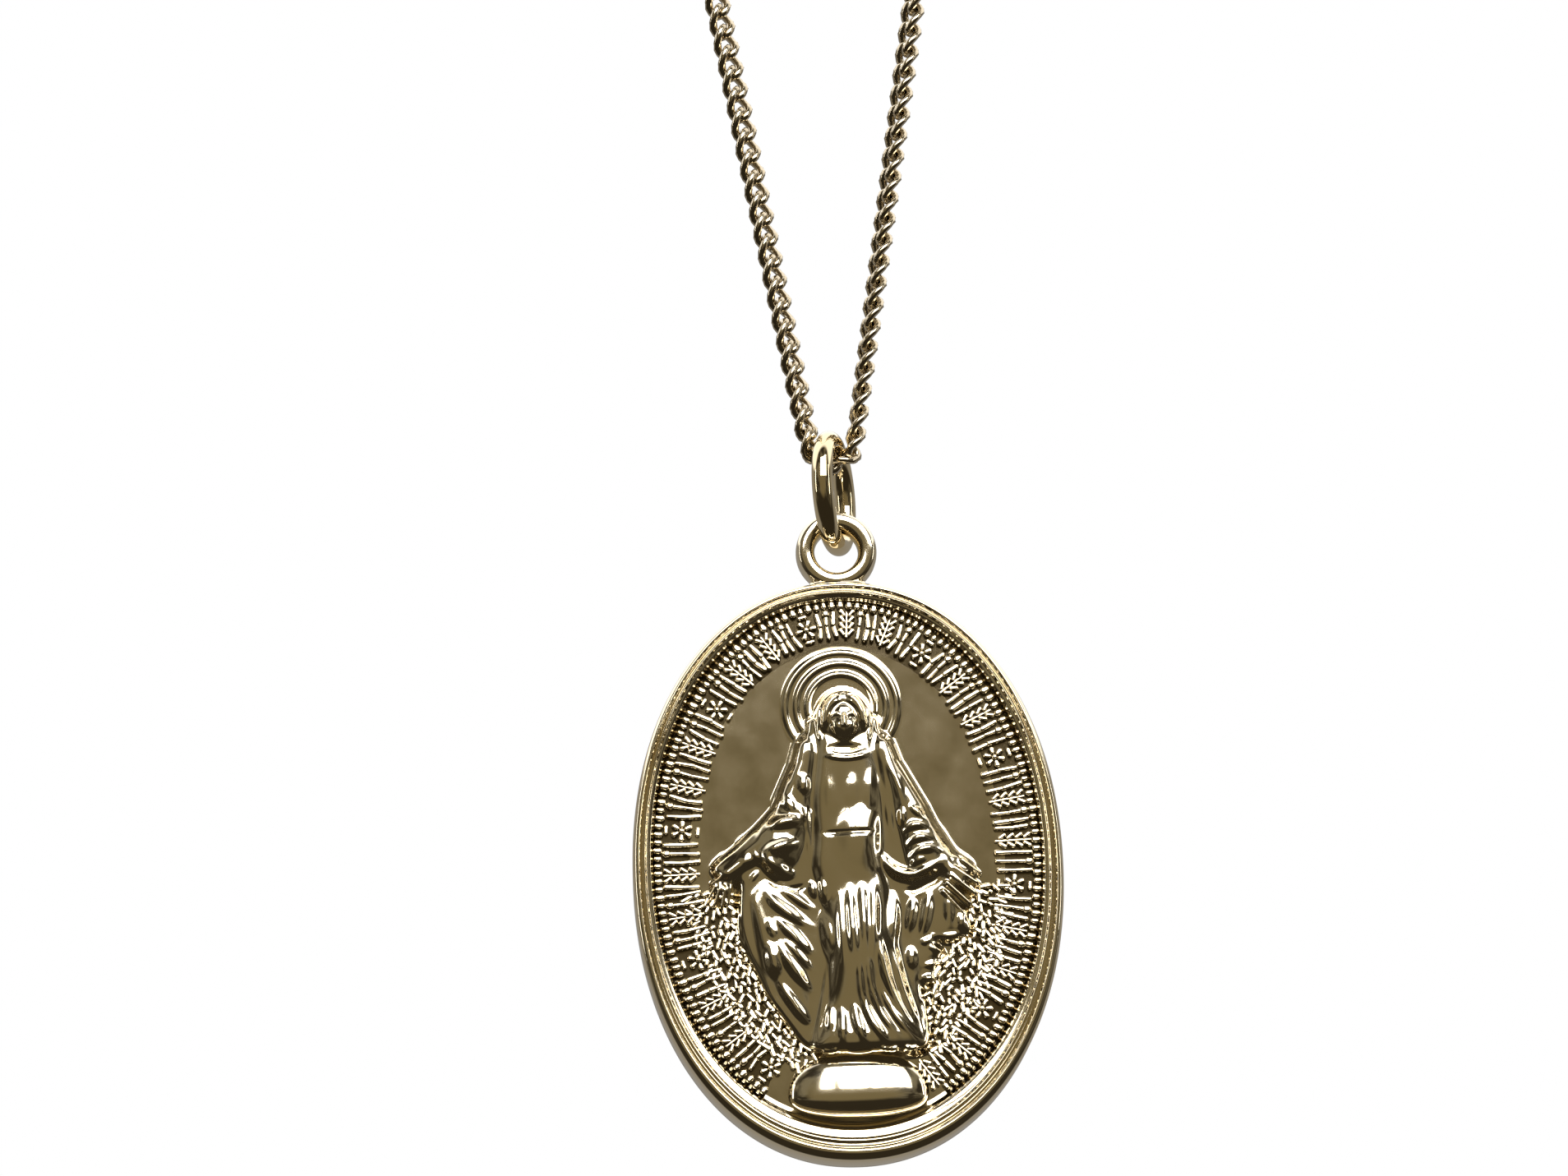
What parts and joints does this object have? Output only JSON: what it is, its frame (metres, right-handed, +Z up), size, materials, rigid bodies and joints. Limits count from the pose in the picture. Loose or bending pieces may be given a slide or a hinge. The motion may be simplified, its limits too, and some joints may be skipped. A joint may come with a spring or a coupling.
{
  "type": "religious medal pendant",
  "caption": "Oval gold medal with a robed, haloed figure in relief, hung by an eye and a bail ring on a fine curb chain loop with a plain clasp.",
  "frame": {"origin": "inside of the loop at the nape, under the clasp, where the chain rests", "axes": "+Z up along the hanging loop, the medal's figure faces -Y, +X to the viewer's right"},
  "size_m": [0.0538, 0.0052, 0.2119],
  "materials": {
    "medal_gold": "polished cast gold, the field slightly satin",
    "bail_gold": "polished gold wire",
    "chain_gold": "polished gold, flat cut faces",
    "clasp_gold": "polished gold"
  },
  "bodies": {
    "chain_loop": {"chain": "chain_gold", "clasp": "clasp_gold"},
    "bail_ring": {"bail": "bail_gold"},
    "medal_body": {"medal": "medal_gold"}
  },
  "joints": [
    {"name": "bail_swing", "type": "hinge", "parent": "chain_loop", "child": "bail_ring", "pos_m": [0, 0, -0.17938], "axis": [0.9659, -0.2588, 0], "range_deg": [-60, 60]},
    {"name": "medal_sway", "type": "hinge", "parent": "bail_ring", "child": "medal_body", "pos_m": [0, 0, -0.1829], "axis": [0.2588, 0.9659, 0], "range_deg": [-60, 60]}
  ]
}
